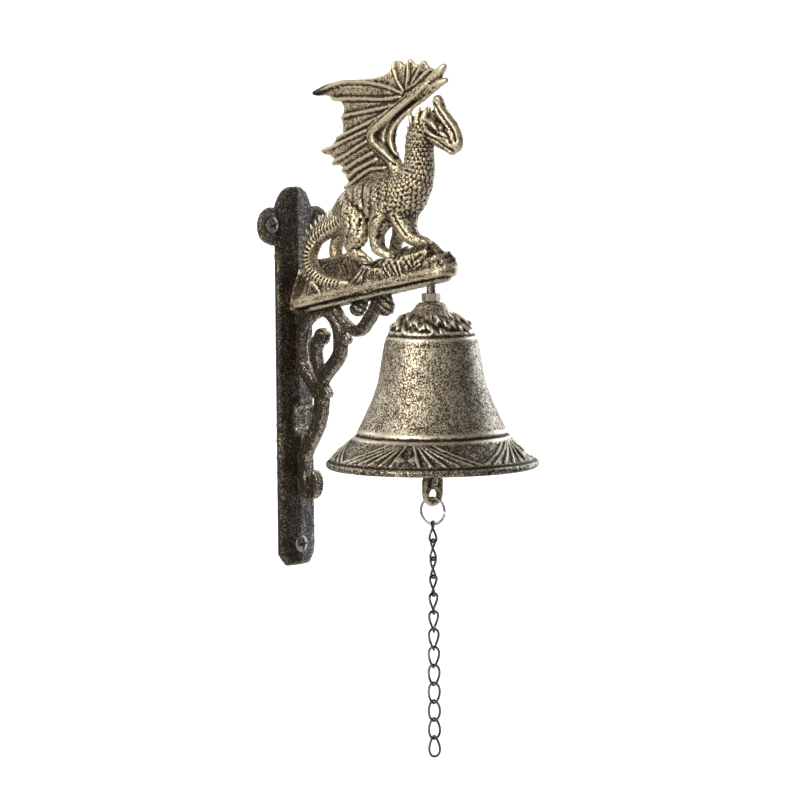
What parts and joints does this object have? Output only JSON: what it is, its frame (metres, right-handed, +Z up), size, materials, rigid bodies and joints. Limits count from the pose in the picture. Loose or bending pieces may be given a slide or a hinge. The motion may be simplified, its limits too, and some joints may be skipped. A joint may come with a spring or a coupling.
{
  "type": "wall mounted bell",
  "caption": "Cast iron wall bracket with a dragon figure on a rising shelf, scrolls below, and a flared bell with a clapper rung by a pull chain.",
  "frame": {"origin": "centre of the backplate's flat back face, which lies against the wall", "axes": "+Y points into the wall, so the bracket reaches out along -Y; +X runs along the wall; +Z is up"},
  "size_m": [0.1264, 0.1732, 0.4141],
  "materials": {
    "iron_dark": "dark brown-black cast iron, slightly brushed with gold",
    "iron_gold": "dark cast iron with pale gold dry-brushed on all raised grain",
    "screw_steel": "grey steel",
    "rod_steel": "dark threaded steel",
    "nut_plating": "worn yellow zinc plating",
    "chain_wire": "blackened steel wire, polished on its high spots"
  },
  "bodies": {
    "bracket": {"backplate": "iron_dark", "shelf_arm": "iron_gold", "rock_base": "iron_gold", "dragon_body": "iron_gold", "dragon_wings": "iron_gold", "dragon_tail": "iron_gold", "scroll_upper": "iron_dark", "scroll_stem": "iron_dark", "scroll_front": "iron_dark", "wall_screw_left": "screw_steel", "wall_screw_right": "screw_steel", "wall_screw_bottom": "screw_steel", "hanger_rod": "rod_steel", "top_nut": "nut_plating", "bell": "iron_gold", "inner_washer": "screw_steel", "inner_nut": "screw_steel"},
    "clapper_link": {"clapper_link": "chain_wire"},
    "clapper": {"clapper": "iron_gold"},
    "pull_ring": {"pull_ring": "chain_wire"},
    "chain_link_01": {"chain_link_01": "chain_wire"},
    "chain_link_02": {"chain_link_02": "chain_wire"},
    "chain_link_03": {"chain_link_03": "chain_wire"},
    "chain_link_04": {"chain_link_04": "chain_wire"},
    "chain_link_05": {"chain_link_05": "chain_wire"},
    "chain_link_06": {"chain_link_06": "chain_wire"},
    "chain_link_07": {"chain_link_07": "chain_wire"},
    "chain_link_08": {"chain_link_08": "chain_wire"},
    "chain_link_09": {"chain_link_09": "chain_wire"},
    "chain_link_10": {"chain_link_10": "chain_wire"},
    "chain_link_11": {"chain_link_11": "chain_wire"},
    "chain_link_12": {"chain_link_12": "chain_wire"},
    "chain_link_13": {"chain_link_13": "chain_wire"}
  },
  "joints": [
    {"name": "clapper_link_swing", "type": "hinge", "parent": "bracket", "child": "clapper_link", "pos_m": [0, -0.11, 0.0183], "axis": [1, 0, 0], "range_deg": [-29, 29]},
    {"name": "clapper_swing", "type": "hinge", "parent": "clapper_link", "child": "clapper", "pos_m": [0, -0.11, 0.0073], "axis": [0, 1, 0], "range_deg": [-10, 10]},
    {"name": "pull_ring_swing", "type": "hinge", "parent": "clapper", "child": "pull_ring", "pos_m": [0, -0.11, -0.0707], "axis": [-0.9744, 0.225, 0], "range_deg": [-40, 40]},
    {"name": "chain_link_01_swing", "type": "hinge", "parent": "pull_ring", "child": "chain_link_01", "pos_m": [0, -0.11, -0.0834], "axis": [0.2079, -0.9781, 0], "range_deg": [-35, 35]},
    {"name": "chain_link_02_swing", "type": "hinge", "parent": "chain_link_01", "child": "chain_link_02", "pos_m": [0, -0.11, -0.09225], "axis": [-0.9998, -0.0175, 0], "range_deg": [-35, 35]},
    {"name": "chain_link_03_swing", "type": "hinge", "parent": "chain_link_02", "child": "chain_link_03", "pos_m": [0, -0.11, -0.1048], "axis": [-0.0175, 0.9998, 0], "range_deg": [-35, 35]},
    {"name": "chain_link_04_swing", "type": "hinge", "parent": "chain_link_03", "child": "chain_link_04", "pos_m": [0, -0.11, -0.11365], "axis": [0.9336, -0.3584, 0], "range_deg": [-35, 35]},
    {"name": "chain_link_05_swing", "type": "hinge", "parent": "chain_link_04", "child": "chain_link_05", "pos_m": [0, -0.11, -0.1262], "axis": [-0.3584, -0.9336, 0], "range_deg": [-35, 35]},
    {"name": "chain_link_06_swing", "type": "hinge", "parent": "chain_link_05", "child": "chain_link_06", "pos_m": [0, -0.11, -0.13505], "axis": [-0.7314, 0.682, 0], "range_deg": [-35, 35]},
    {"name": "chain_link_07_swing", "type": "hinge", "parent": "chain_link_06", "child": "chain_link_07", "pos_m": [0, -0.11, -0.1476], "axis": [0.682, 0.7314, 0], "range_deg": [-35, 35]},
    {"name": "chain_link_08_swing", "type": "hinge", "parent": "chain_link_07", "child": "chain_link_08", "pos_m": [0, -0.11, -0.15645], "axis": [0.4226, -0.9063, 0], "range_deg": [-35, 35]},
    {"name": "chain_link_09_swing", "type": "hinge", "parent": "chain_link_08", "child": "chain_link_09", "pos_m": [0, -0.11, -0.169], "axis": [-0.9063, -0.4226, 0], "range_deg": [-35, 35]},
    {"name": "chain_link_10_swing", "type": "hinge", "parent": "chain_link_09", "child": "chain_link_10", "pos_m": [0, -0.11, -0.17785], "axis": [-0.0523, 0.9986, 0], "range_deg": [-35, 35]},
    {"name": "chain_link_11_swing", "type": "hinge", "parent": "chain_link_10", "child": "chain_link_11", "pos_m": [0, -0.11, -0.1904], "axis": [0.9986, 0.0523, 0], "range_deg": [-35, 35]},
    {"name": "chain_link_12_swing", "type": "hinge", "parent": "chain_link_11", "child": "chain_link_12", "pos_m": [0, -0.11, -0.19925], "axis": [-0.3256, -0.9455, 0], "range_deg": [-35, 35]},
    {"name": "chain_link_13_swing", "type": "hinge", "parent": "chain_link_12", "child": "chain_link_13", "pos_m": [0, -0.11, -0.2118], "axis": [-0.9455, 0.3256, 0], "range_deg": [-35, 35]}
  ]
}
